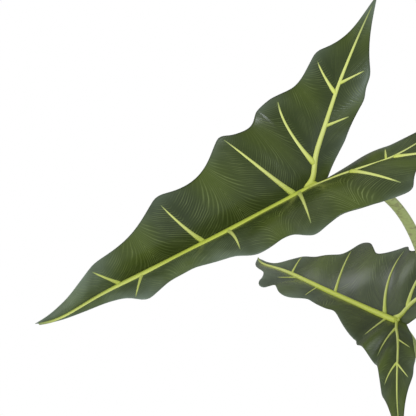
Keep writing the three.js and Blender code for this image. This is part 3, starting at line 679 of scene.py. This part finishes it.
def ball(rings, sides):
    """A ball of radius one: points and faces."""
    points = [[0, 0, -1]]
    for ring in range(1, rings):
        polar = math.pi * ring / rings
        for side in range(sides):
            angle = 2 * math.pi * side / sides
            across = math.sin(polar)
            points.append([across * math.cos(angle), across * math.sin(angle), -math.cos(polar)])
    points.append([0, 0, 1])
    faces = [[0, 1 + (side + 1) % sides, 1 + side] for side in range(sides)]
    faces += ring_faces(rings - 1, sides, 1)
    last = len(points) - 1
    faces += [[last, last - sides + side, last - sides + (side + 1) % sides] for side in range(sides)]
    return np.array(points), faces


def build_ribs(number, leaf, material):
    """All ribs of a leaf in one mesh: rounded above, with a keel below, and a hub at the junction."""
    vertices, faces, along, edge, depth = [], [], [], [], []

    def add_strand(rings, edges, shares, deep_green_and_painted_shade):
        """Adds rings of points with their place across and along the rib, and how far its green deepens."""
        first = sum(len(v) for v in vertices)
        sides = len(rings[0])
        vertices.append(np.concatenate(rings))
        along.append(np.repeat(shares, sides))
        edge.append(np.tile(edges, len(rings)))
        depth.append(np.repeat(deep_green_and_painted_shade, sides))
        faces.extend(strand_faces(len(rings), sides, first))

    angle = np.linspace(0, 2 * np.pi, 2 * RIB_ROUND - 2, endpoint=False)
    shift = leaf.get("rib_shift", 0)
    # The midrib, a round strand, of a deeper green up to its middle
    rings = []
    for share in np.linspace(*MIDRIB_ENDS, MIDRIB_RINGS):
        radius = np.interp(share, MIDRIB_SHARES, MIDRIB_RADII)
        across = radius * np.cos(angle) - shift * (1 - 0.8 * max(share, 0) ** 3)
        rise = MIDRIB_LIFT * math.sqrt(radius / MIDRIB_RADII[0]) + radius * np.sin(angle)
        rings.append(hang_section(leaf, across, rise, share * BLADE_LENGTH))
    share = np.linspace(0, 1, len(rings))
    add_strand(rings, np.cos(angle), share ** 3, 1 - 0.8 * ramp(share, 0.5, 0.8))

    # The other ribs, each lower towards its end
    for half in leaf["halves"]:
        for line, widths in rib_lines(half):
            way = np.gradient(line, axis=0)
            way /= np.linalg.norm(way, axis=1, keepdims=True)
            side = np.stack([way[:, 1], -way[:, 0]], axis=-1) * half["sign"]
            share = np.linspace(0, 1, len(line))
            heights = widths * np.clip((1 - share) * 6, 0.15, 1)
            rings = []
            for point, aside, width, height in zip(line, side, widths, heights):
                section = rib_section(width, RIB_CROWN * height, RIB_KEEL * height)
                x = point[0] + section[:, 0] * aside[0]
                y = point[1] + section[:, 0] * aside[1]
                rings.append(hang(leaf, half["sign"], x, y, section[:, 1]))
            add_strand(rings, section[:, 0] / width * half["sign"], share, 0.8 * ramp(share, 0.3, 0))

    # The hub, where they meet
    first = sum(len(v) for v in vertices)
    hub, hub_faces = hub_dome(leaf)
    vertices.append(hub)
    along.append(np.zeros(len(hub)))
    edge.append(np.zeros(len(hub)))
    depth.append(np.full(len(hub), 0.5))
    faces.extend([[corner + first for corner in face] for face in hub_faces])
    ribs = make_object(
        f"ribs_{number}_fine", np.concatenate(vertices), faces, [material],
        attributes={
            "along": np.concatenate(along), "edge": np.concatenate(edge), "depth": np.concatenate(depth),
        },
    )
    finish_piece(ribs, f"ribs_{number}")


# Stalks

def stalk_path(leaf):
    """Upright out of the soil, arching over to the seat under the blade and on into the midrib's keel."""
    junction = np.array(leaf["junction"], float)
    inwards = -junction * (1, 1, 0)
    inwards /= np.linalg.norm(inwards)
    pitch = math.radians(leaf["stalk_pitch"])
    way = inwards * math.cos(pitch) + np.array([0, 0, math.sin(pitch)])
    midrib = turn_of(leaf)[:, 1] / leaf["size"]
    cosine = abs(way @ midrib)
    seat = (BLADE_THICKNESS / 2 + STALK_TOP_RADIUS * cosine) / math.sqrt(1 - cosine ** 2)
    top = junction + way * seat
    stand = math.radians(leaf["stand"])
    lean = math.radians(leaf["lean"])
    outwards = np.array([math.cos(stand), math.sin(stand), 0])
    rising = outwards * math.sin(lean) + np.array([0, 0, math.cos(lean)])
    ground = outwards * STALK_RING + np.array([0, 0, SOIL_EDGE + SOIL_MOUND])
    span = np.linalg.norm(top - ground)
    controls = [ground, ground + rising * span * STALK_UPRIGHT, top + way * span * STALK_REACH, top]
    share = np.linspace(0, 1, STALK_STEPS)[:, None]
    weights = [(1 - share) ** 3, 3 * (1 - share) ** 2 * share, 3 * (1 - share) * share ** 2, share ** 3]
    arch = sum(weight * control for weight, control in zip(weights, controls))
    foot = ground - rising * HOLE_DEPTH
    return np.concatenate([[foot], arch])


def build_stalk(number, leaf, material):
    """A fleshy stalk: round above, with a shallow groove facing the middle of the plant lower down."""
    path = stalk_path(leaf)
    share = np.concatenate([[0], np.linspace(1 / 13, 1, STALK_STEPS)])
    radii = STALK_BASE_RADIUS + (STALK_TOP_RADIUS - STALK_BASE_RADIUS) * share ** STALK_TAPER
    way = np.gradient(path, axis=0)
    way /= np.linalg.norm(way, axis=1, keepdims=True)
    stand = math.radians(leaf["stand"])
    groove = -np.array([math.cos(stand), math.sin(stand), 0])
    rings = []
    for point, ahead, radius, place in zip(path, way, radii, share):
        first = groove - ahead * (groove @ ahead)
        first /= np.linalg.norm(first)
        second = np.cross(ahead, first)
        angle = np.linspace(0, 2 * np.pi, STALK_SIDES, endpoint=False)
        aside = np.minimum(angle, 2 * np.pi - angle) / GROOVE_WIDTH
        reach = radius * (1 - GROOVE_DEPTH * np.exp(-aside ** 2) * max(1 - place * GROOVE_FADE, 0))
        rings.append(point + np.outer(reach * np.cos(angle), first) + np.outer(reach * np.sin(angle), second))
    faces = strand_faces(len(rings), STALK_SIDES)
    stalk = make_object(
        f"stalk_{number}_fine", np.concatenate(rings), faces, [material],
        attributes={"along": np.repeat(share, STALK_SIDES)},
    )
    finish_piece(stalk, f"stalk_{number}")


# Pot and soil

def turned(outline, sides):
    """Points and faces of an outline of radius and height turned round the axis, near which it ends."""
    angle = np.linspace(0, 2 * np.pi, sides, endpoint=False)
    rings = [np.stack([r * np.cos(angle), r * np.sin(angle), np.full(sides, z)], axis=-1) for r, z in outline]
    return np.concatenate(rings), strand_faces(len(rings), sides)


def rounded_corner(corner, before, after, radius, steps=6):
    """Points of an arc-like curve that cuts a corner off."""
    corner, before, after = (np.array(p, float) for p in (corner, before, after))
    start = corner + (before - corner) / np.linalg.norm(before - corner) * radius
    end = corner + (after - corner) / np.linalg.norm(after - corner) * radius
    share = np.linspace(0, 1, steps)[:, None]
    return [tuple(p) for p in (1 - share) ** 2 * start + 2 * share * (1 - share) * corner + share ** 2 * end]


def build_pot(material):
    """The pot: one outline, from the underside up the outside, over the rim and down to the floor."""
    slope = (POT_RIM_RADIUS - RIM_STEP - POT_FOOT_RADIUS) / POT_HEIGHT

    def outside(z):
        """The wall's outer radius at a height, below the rim band."""
        return POT_FOOT_RADIUS + slope * z

    # Each corner's radius and height, and how far it is rounded
    band = POT_HEIGHT - RIM_BAND
    corners = [
        ((AXIS_GAP, 0), 0), ((POT_FOOT_RADIUS, 0), 2.5), ((outside(band), band), 1.2),
        ((outside(band) + RIM_STEP, band + 1.5), 2), ((POT_RIM_RADIUS, POT_HEIGHT), 3),
        ((outside(POT_HEIGHT) - POT_WALL, POT_HEIGHT), 3), ((outside(POT_FLOOR) - POT_WALL, POT_FLOOR), 4),
        ((AXIS_GAP, POT_FLOOR), 0),
    ]
    outline = []
    for i, (corner, radius) in enumerate(corners):
        if radius:
            outline += rounded_corner(corner, corners[i - 1][0], corners[i + 1][0], radius)
        else:
            outline.append(corner)
    vertices, faces = turned(outline, POT_SIDES)
    pot = make_object("pot_fine", vertices, faces, [material])
    finish_piece(pot, "pot")


def soil_level(radius):
    """Height of the soil's mean surface."""
    return SOIL_EDGE + SOIL_MOUND * np.interp(radius, [SOIL_TOP_RADIUS, MOUND_RADIUS], [1, 0])


def build_soil(materials):
    """Peat surface with crumbs, bark chips and a little perlite pressed into it."""
    rng = np.random.default_rng(7)
    angle = np.linspace(0, 2 * np.pi, SOIL_SIDES, endpoint=False)
    circle = np.stack([np.cos(angle), np.sin(angle)], axis=-1)
    rings = []
    for radius in np.linspace(0.3, SOIL_RADIUS, SOIL_RINGS):
        bumps = rng.normal(0, BUMP_HEIGHT, SOIL_SIDES)
        bumps = (bumps + np.roll(bumps, 1) + np.roll(bumps, -1)) / 2
        height = soil_level(radius) - 1 + bumps * min(radius / 12, 1)
        rings.append(np.column_stack([radius * circle, height]))
    rings.append(np.column_stack([SOIL_RADIUS * 0.99 * circle, np.full(SOIL_SIDES, SOIL_UNDERSIDE)]))
    faces = [face[::-1] for face in strand_faces(len(rings), SOIL_SIDES)]
    face_kinds = [0] * len(faces)
    vertices = [np.concatenate(rings)]
    for kind, (count, small, large, flat) in enumerate(GRAINS):
        for _ in range(count):
            grain, grain_faces = lump(rng, rng.uniform(small, large), flat)
            radius = SOIL_RADIUS * math.sqrt(rng.uniform(0.002, 0.93))
            turn = rng.uniform(0, 2 * np.pi)
            place = np.array([radius * math.cos(turn), radius * math.sin(turn), soil_level(radius) - 0.6])
            first = sum(len(v) for v in vertices)
            vertices.append(grain + place)
            faces += [[corner + first for corner in face] for face in grain_faces]
            face_kinds += [kind] * len(grain_faces)
    soil = make_object("soil_fine", np.concatenate(vertices), faces, materials, face_kinds)
    finish_piece(soil, "soil")


def lump(rng, size, flat):
    """A small uneven grain: a rough ball pressed flat and turned at random."""
    points, faces = ball(4, 7)
    points = points * rng.uniform(0.75, 1.2, (len(points), 1)) * size
    stretch = np.array([1, rng.uniform(0.5, 0.9), flat])
    turn = Matrix.Rotation(rng.uniform(0, 6.28), 3, "Z") @ Matrix.Rotation(rng.normal(0, 0.35), 3, "X")
    return (points * stretch) @ np.array(turn).T, faces


# Materials

def leaf_skin(name, dark, light, vein, roughness, vein_strength):
    """Living leaf, grown smooth under a waxy coat, which gives green a soft, cool gloss, with painted light,
    shade and sheen in its colour.
    """
    material, tree, shader, place = new_material(name)
    read = {key: add(tree, "Attribute", attribute_name=key, out="Fac") for key in SKIN_VALUES}
    cloud = add(tree, "TexNoise", {"Vector": place, "Scale": scale_of(SHADE_PATCH), "Detail": 3.0})
    waver = add(tree, "TexNoise", {"Vector": place, "Scale": scale_of(VEIN_PATCH), "Detail": 2.0})

    # Painted light: the leaf is painted palest half way between two side ribs, towards the margin, on the
    # swell between them
    middle = add(tree, "MapRange", {"Value": read["from_middle"], "From Min": 0.75, "From Max": 0.0},
                 **SMOOTH)
    outwards = add(tree, "MapRange", {
        "Value": read["row"], "From Min": 0.05, "From Max": 0.7, "To Min": 0.2,
    }, **SMOOTH)
    painted_light_belly = add(tree, "Math", {0: middle, 1: outwards}, operation="MULTIPLY")
    shade = add(tree, "Math", {0: cloud, 1: 1.1, 2: -0.4}, operation="MULTIPLY_ADD")
    shade = add(tree, "Math", {0: painted_light_belly, 1: 0.62, 2: shade}, operation="MULTIPLY_ADD", use_clamp=True)
    green = add(tree, "Mix", {"Factor": shade, 6: linear(dark), 7: linear(light)}, **COLOURS)

    # Fine veins: lines of equal fan count, each of its own strength, fewer where they crowd
    stray = add(tree, "Math", {0: waver, 1: FAN_WAVER, 2: read["fan"]}, operation="MULTIPLY_ADD")
    drawn = []
    for spacing, near, far in ((FINE_VEIN_SPACING, 0.35, 0.6), (FINE_VEIN_SPACING * COARSE, 0.55, 0.3)):
        count = add(tree, "Math", {0: stray, 1: spacing}, operation="DIVIDE")
        own = add(tree, "Math", {0: count}, operation="FLOOR")
        chance = add(tree, "TexWhiteNoise", {"W": own}, noise_dimensions="1D")
        across = add(tree, "Math", {0: count}, operation="FRACT")
        off = add(tree, "Math", {0: across, 1: 0.5}, operation="SUBTRACT")
        off = add(tree, "Math", {0: off}, operation="ABSOLUTE")
        line = add(tree, "MapRange", {"Value": off, "From Min": 0.24, "From Max": 0.04}, **SMOOTH)
        own_strength = add(tree, "MapRange", {"Value": chance, "To Min": 0.3, "To Max": 1.0})
        zone = add(tree, "MapRange", {"Value": read["from_middle"], "From Min": near, "From Max": far},
                   **SMOOTH)
        line = add(tree, "Math", {0: line, 1: own_strength}, operation="MULTIPLY")
        drawn.append(add(tree, "Math", {0: line, 1: zone}, operation="MULTIPLY"))
    lines = add(tree, "Math", {0: drawn[0], 1: drawn[1]}, operation="MAXIMUM")
    patchy = add(tree, "MapRange", {"Value": waver, "From Min": 0.3, "From Max": 0.6, "To Min": 0.3})
    lines = add(tree, "Math", {0: lines, 1: patchy}, operation="MULTIPLY")
    lines = add(tree, "Math", {0: lines, 1: read["strength"]}, operation="MULTIPLY")
    thin = add(tree, "Math", {0: lines, 1: vein_strength}, operation="MULTIPLY")
    veined = add(tree, "Mix", {"Factor": thin, 6: green, 7: linear(vein)}, **COLOURS)

    # Painted shade beside the ribs and over the right lobe, a darker thin line along the margin, and on top a
    # painted sheen of pale grey-blue
    painted_shade_beside = add(tree, "MapRange", {
        "Value": read["rib_gap"], "From Min": 2.5, "From Max": 16.0, "To Min": 0.12, "To Max": 0.0,
    }, **SMOOTH)
    darker = add(tree, "Math", {0: painted_shade_beside, 1: read["deep_green_and_painted_shade"]}, use_clamp=True)
    shaded = add(tree, "Mix", {"Factor": darker, 6: veined, 7: linear(dark)}, **COLOURS)
    rim = add(tree, "MapRange", {
        "Value": read["edge_gap"], "From Min": 0.5, "From Max": 1.6, "To Min": 0.55, "To Max": 0.0,
    })
    edged = add(tree, "Mix", {"Factor": rim, 6: shaded, 7: linear("#20281a")}, **COLOURS)
    # Painted sheen: pale grey-blue patches, broken up by noise, standing in for reflections on the gloss
    bloom = add(tree, "Math", {0: read["painted_sheen"], 1: waver}, operation="MULTIPLY", use_clamp=True)
    with_painted_sheen = add(tree, "Mix", {"Factor": bloom, 6: edged, 7: linear("#8a9a8c")}, **COLOURS)

    # The wax lies a little thicker or thinner from place to place, and the fine veins stand up under it
    bump = add(tree, "Bump", {"Height": lines, "Strength": 0.15, "Distance": 0.5 * MM})
    gloss = add(tree, "MapRange", {
        "Value": cloud, "From Min": 0.3, "From Max": 0.7,
        "To Min": roughness - 0.05, "To Max": roughness + 0.06,
    })
    feed(tree, shader, {
        "Base Color": with_painted_sheen, "Normal": bump, "Roughness": gloss, "IOR": 1.42, "Specular IOR Level": 0.35,
        "Specular Tint": (0.8, 0.9, 1.0, 1.0),
    })
    return material


def rib_flesh():
    """Firm watery rib under a thin waxy coat: pale yellow-green, satin, greener at its end, with painted
    shade along one edge.
    """
    material, tree, shader, place = new_material("leaf_rib")
    along = add(tree, "Attribute", attribute_name="along", out="Fac")
    edge = add(tree, "Attribute", attribute_name="edge", out="Fac")
    cloud = add(tree, "TexNoise", {"Vector": place, "Scale": scale_of(RIB_PATCH), "Detail": 2.0})
    depth = add(tree, "Attribute", attribute_name="depth", out="Fac")
    pale = add(tree, "Mix", {"Factor": cloud, 6: linear("#bcc662"), 7: linear("#d0d786")}, **COLOURS)
    flesh = add(tree, "Mix", {"Factor": depth, 6: pale, 7: linear("#bfcb4c")}, **COLOURS)
    # Painted shade: each rib is painted a darker green towards one edge
    side = add(tree, "MapRange", {"Value": edge, "From Min": -0.2, "From Max": 0.9, "To Max": 0.6})
    shade_sided = add(tree, "Mix", {"Factor": side, 6: flesh, 7: linear("#8f9f3a")}, **COLOURS)
    end = add(tree, "MapRange", {"Value": along, "From Min": 0.8, "From Max": 1.0})
    colour = add(tree, "Mix", {"Factor": end, 6: shade_sided, 7: linear("#71814a")}, **COLOURS)
    feed(tree, shader, {"Base Color": colour, "Roughness": 0.42})
    return material


def stalk_flesh():
    """Fleshy leaf stalk under a thin waxy coat: satin pale green, marbled with brown in short bands."""
    material, tree, shader, place = new_material("leaf_stalk")
    bands = add(tree, "Mapping", {"Vector": place, "Scale": (1.0, 1.0, 2.4)})
    marble = add(tree, "TexNoise", {
        "Vector": bands, "Scale": scale_of(STALK_BLOTCH), "Detail": 4.0, "Distortion": 1.2,
    })
    mask = add(tree, "MapRange", {"Value": marble, "From Min": 0.52, "From Max": 0.62})
    along = add(tree, "Attribute", attribute_name="along", out="Fac")
    fade = add(tree, "MapRange", {
        "Value": along, "From Min": 0.2, "From Max": 1.0, "To Min": 0.75, "To Max": 0.3,
    })
    spots = add(tree, "Math", {0: mask, 1: fade}, operation="MULTIPLY")
    colour = add(tree, "Mix", {"Factor": spots, 6: linear("#97a566"), 7: linear("#5b4a38")}, **COLOURS)
    feed(tree, shader, {"Base Color": colour, "Roughness": 0.4})
    return material


def earth(name, dark, light, grain):
    """Peat, bark or perlite, crumbled and dry: dull and rough, in two tones."""
    material, tree, shader, place = new_material(name)
    cloud = add(tree, "TexNoise", {"Vector": place, "Scale": scale_of(grain), "Detail": 5.0})
    tone = add(tree, "MapRange", {"Value": cloud, "From Min": 0.35, "From Max": 0.65})
    colour = add(tree, "Mix", {"Factor": tone, 6: linear(dark), 7: linear(light)}, **COLOURS)
    bump = add(tree, "Bump", {"Height": cloud, "Strength": 0.6, "Distance": 1 * MM})
    feed(tree, shader, {"Base Color": colour, "Normal": bump, "Roughness": 0.92})
    return material


def terracotta():
    """Fired clay, turned on a wheel and left bare: dry, faintly ringed, with a paler bloom of salts."""
    material, tree, shader, place = new_material("terracotta")
    rings = add(tree, "Mapping", {"Vector": place, "Scale": (0.6, 0.6, 12.0)})
    turning = add(tree, "TexNoise", {"Vector": rings, "Scale": scale_of(TURNING_MARK), "Detail": 3.0})
    bloom = add(tree, "TexNoise", {
        "Vector": place, "Scale": scale_of(CLAY_BLOOM), "Detail": 6.0, "Roughness": 0.65,
    })
    mask = add(tree, "MapRange", {"Value": bloom, "From Min": 0.5, "From Max": 0.8, "To Max": 0.5})
    clay = add(tree, "Mix", {"Factor": turning, 6: linear("#a65f3e"), 7: linear("#c17c56")}, **COLOURS)
    colour = add(tree, "Mix", {"Factor": mask, 6: clay, 7: linear("#d8b49a")}, **COLOURS)
    bump = add(tree, "Bump", {"Height": turning, "Strength": 0.3, "Distance": 0.6 * MM})
    feed(tree, shader, {"Base Color": colour, "Normal": bump, "Roughness": 0.85})
    return material


def pale_floor():
    """Plain pale studio paper, matt, which fades out into the bright room some way from the pot."""
    material, tree, shader, place = new_material("floor_paper")
    cloud = add(tree, "TexNoise", {"Vector": place, "Scale": scale_of(PAPER_PATCH)})
    colour = add(tree, "Mix", {"Factor": cloud, 6: linear("#f6f6f5"), 7: linear("#fbfbfa")}, **COLOURS)
    feed(tree, shader, {"Base Color": colour, "Roughness": 0.9})
    away = add(tree, "VectorMath", {0: place}, operation="LENGTH", out="Value")
    fade = add(tree, "MapRange", {"Value": away, "From Min": FLOOR_REACH * 0.4, "From Max": FLOOR_REACH},
               **SMOOTH)
    clear = add(tree, "BsdfTransparent")
    faded = add(tree, "MixShader", {"Fac": fade, 1: shader.outputs[0], 2: clear})
    feed(tree, tree.nodes["Material Output"], {"Surface": faded})
    return material


# Build the plant

upper = leaf_skin("leaf_upper", "#2c3616", "#495719", "#8f9e60", 0.24, 0.42)
under = leaf_skin("leaf_under", "#5c6b44", "#76875a", "#94a372", 0.55, 0.3)
ribs = rib_flesh()
flesh = stalk_flesh()
for number, leaf in enumerate(LEAVES, 1):
    build_blade(number, leaf, [upper, under])
    build_ribs(number, leaf, ribs)
    build_stalk(number, leaf, flesh)
build_pot(terracotta())
build_soil([
    earth("peat", "#241a14", "#3d2d22", PEAT_GRAIN),
    earth("bark_chip", "#3f2a1d", "#6b4a33", BARK_GRAIN),
    earth("perlite", "#c9c4b8", "#e6e2d8", PERLITE_GRAIN),
])

# Floor, world and lights

floor_mesh = bpy.data.meshes.new("floor")
corners = [(x * FLOOR_REACH, y * FLOOR_REACH, 0) for x, y in ((-1, -1), (1, -1), (1, 1), (-1, 1))]
floor_mesh.from_pydata(corners, [], [(0, 1, 2, 3)])
floor = bpy.data.objects.new("floor", floor_mesh)
floor_mesh.materials.append(pale_floor())
bpy.context.collection.objects.link(floor)

# The room lights a surface by the way it faces, and the camera sees it plain white
world = bpy.data.worlds.new("studio")
bpy.context.scene.world = world
world.use_nodes = True
sky = world.node_tree
backdrop = sky.nodes["Background"]
way = add(sky, "SeparateXYZ", {"Vector": add(sky, "TexCoord", out="Generated")}).node.outputs
glow = 0.0
for axis, side, brightness in ROOM_GLOW:
    facing = add(sky, "Math", {0: way[axis], 1: side}, operation="MULTIPLY", use_clamp=True)
    share = add(sky, "Math", {0: facing, 1: facing}, operation="MULTIPLY")
    glow = add(sky, "Math", {0: share, 1: brightness, 2: glow}, operation="MULTIPLY_ADD")
ray = add(sky, "LightPath", out="Is Camera Ray")
strength = add(sky, "Mix", {"Factor": ray, 2: glow, 3: 1.0})
feed(sky, backdrop, {"Color": (1, 1, 1, 1), "Strength": strength})


def softbox(name, place, aim, size, power):
    """A square area light at a place in metres, facing a point."""
    lamp = bpy.data.lights.new(name, "AREA")
    lamp.size = size
    lamp.energy = power
    made = bpy.data.objects.new(name, lamp)
    made.location = place
    made.rotation_mode = "QUATERNION"
    made.rotation_quaternion = (Vector(aim) - Vector(place)).to_track_quat("-Z", "Y")
    bpy.context.collection.objects.link(made)


softbox("key", (-0.9, -2.1, 2.1), (-0.2, -0.22, 0.8), 0.35, 11)
softbox("front_right", (0.7, -1.9, 2.1), (-0.15, -0.25, 0.85), 0.2, 5)
softbox("back", (0.2, 1.0, 2.6), (0, -0.1, 0.4), 0.4, 3)
softbox("back_low", (-1.75, 1.7, 1.25), (-0.2, -0.1, 0.55), 0.6, 2)

# Camera: the junction of the front leaf is seen at this place in the photo's frame
FRAME_SIDE = 416
JUNCTION_PIXEL = (312, 186)
CAMERA_DISTANCE = 2.427
CAMERA_ELEVATION = math.radians(15)
LENS = 200
SENSOR = 36

metres_per_pixel = CAMERA_DISTANCE / (FRAME_SIDE * LENS / SENSOR)
right_way = Vector((1, 0, 0))
up_way = Vector((0, math.sin(CAMERA_ELEVATION), math.cos(CAMERA_ELEVATION)))
ahead_way = Vector((0, math.cos(CAMERA_ELEVATION), -math.sin(CAMERA_ELEVATION)))
aim = Vector(LEAVES[0]["junction"]) * MM
aim -= right_way * (JUNCTION_PIXEL[0] - FRAME_SIDE / 2) * metres_per_pixel
aim += up_way * (JUNCTION_PIXEL[1] - FRAME_SIDE / 2) * metres_per_pixel
camera_data = bpy.data.cameras.new("camera")
camera_data.lens = LENS
camera_data.sensor_width = SENSOR
camera = bpy.data.objects.new("camera", camera_data)
camera.location = aim - ahead_way * CAMERA_DISTANCE
camera.rotation_mode = "QUATERNION"
camera.rotation_quaternion = ahead_way.to_track_quat("-Z", "Y")
bpy.context.collection.objects.link(camera)
bpy.context.scene.camera = camera
bpy.context.scene.view_settings.view_transform = "Standard"
